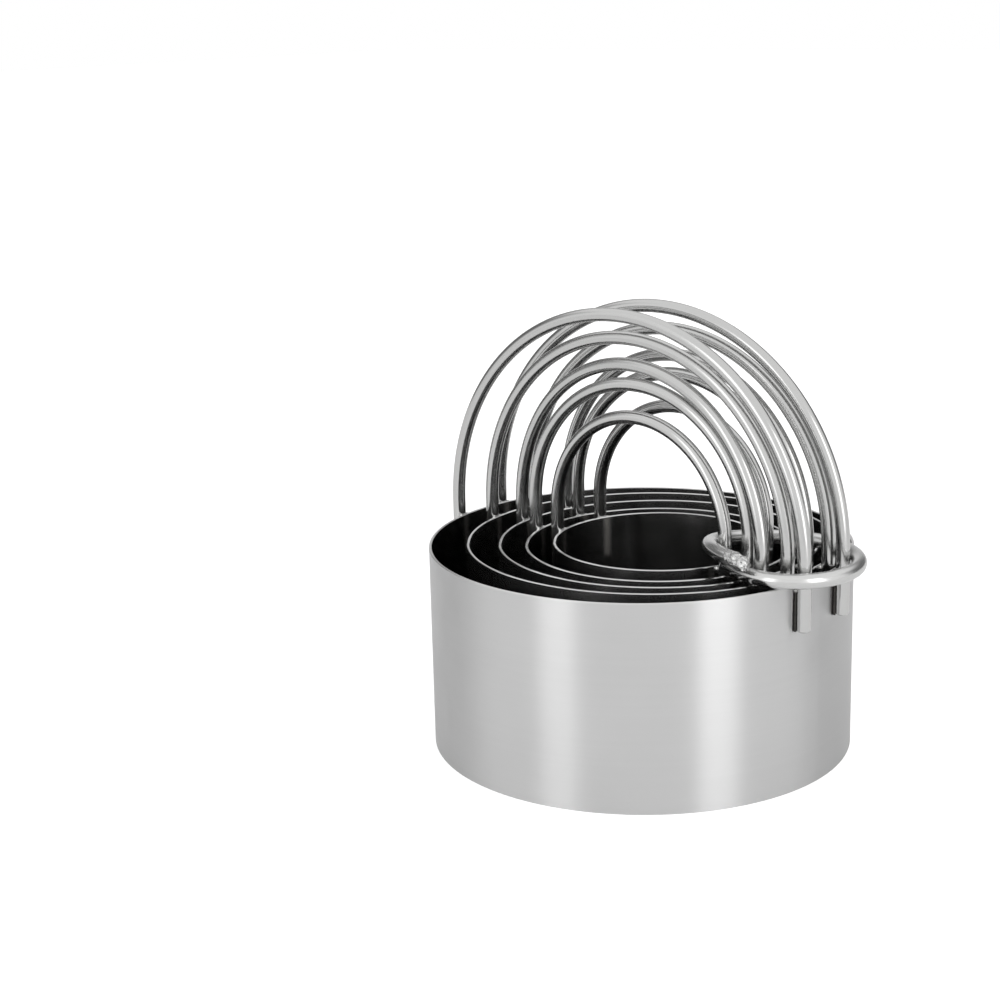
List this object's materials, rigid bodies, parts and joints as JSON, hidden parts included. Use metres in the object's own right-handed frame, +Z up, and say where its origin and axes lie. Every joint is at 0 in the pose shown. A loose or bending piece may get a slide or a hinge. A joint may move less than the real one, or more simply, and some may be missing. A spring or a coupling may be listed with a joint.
{
  "type": "biscuit cutter",
  "caption": "Nested round biscuit cutters of strip steel with double wire arch handles, held together by a split keeper ring.",
  "frame": {"origin": "axis of the largest cutter, at the level that the cutters stand on", "axes": "+Z up along the cutters' axes; +X along the handles, from the free side to the side with the keeper ring; -Y is the front"},
  "size_m": [0.106, 0.095, 0.0994],
  "materials": {
    "strip_steel": "satin-polished stainless strip steel",
    "handle_wire": "polished stainless wire",
    "ring_wire": "polished stainless spring wire"
  },
  "bodies": {
    "cutter_5": {"cutter_band_5": "strip_steel", "handle_front_5": "handle_wire", "handle_back_5": "handle_wire"},
    "cutter_4": {"cutter_band_4": "strip_steel", "handle_front_4": "handle_wire", "handle_back_4": "handle_wire"},
    "cutter_3": {"cutter_band_3": "strip_steel", "handle_front_3": "handle_wire", "handle_back_3": "handle_wire"},
    "cutter_2": {"cutter_band_2": "strip_steel", "handle_front_2": "handle_wire", "handle_back_2": "handle_wire"},
    "cutter_1": {"cutter_band_1": "strip_steel", "handle_front_1": "handle_wire", "handle_back_1": "handle_wire"},
    "keeper_ring": {"keeper_ring": "ring_wire"}
  },
  "joints": [
    {"name": "cutter_4_lift", "type": "slide", "parent": "cutter_5", "child": "cutter_4", "axis": [0, 0, 1], "range_m": [0, 0.078]},
    {"name": "cutter_3_lift", "type": "slide", "parent": "cutter_4", "child": "cutter_3", "axis": [0, 0, 1], "range_m": [0, 0.086]},
    {"name": "cutter_2_lift", "type": "slide", "parent": "cutter_3", "child": "cutter_2", "axis": [0, 0, 1], "range_m": [0, 0.09]},
    {"name": "cutter_1_lift", "type": "slide", "parent": "cutter_2", "child": "cutter_1", "axis": [0, 0, 1], "range_m": [0, 0.096]},
    {"name": "keeper_ring_slide", "type": "slide", "parent": "cutter_1", "child": "keeper_ring", "axis": [0, 0, 1], "range_m": [0, 0.0025], "deforming": ["keeper_ring"]}
  ]
}
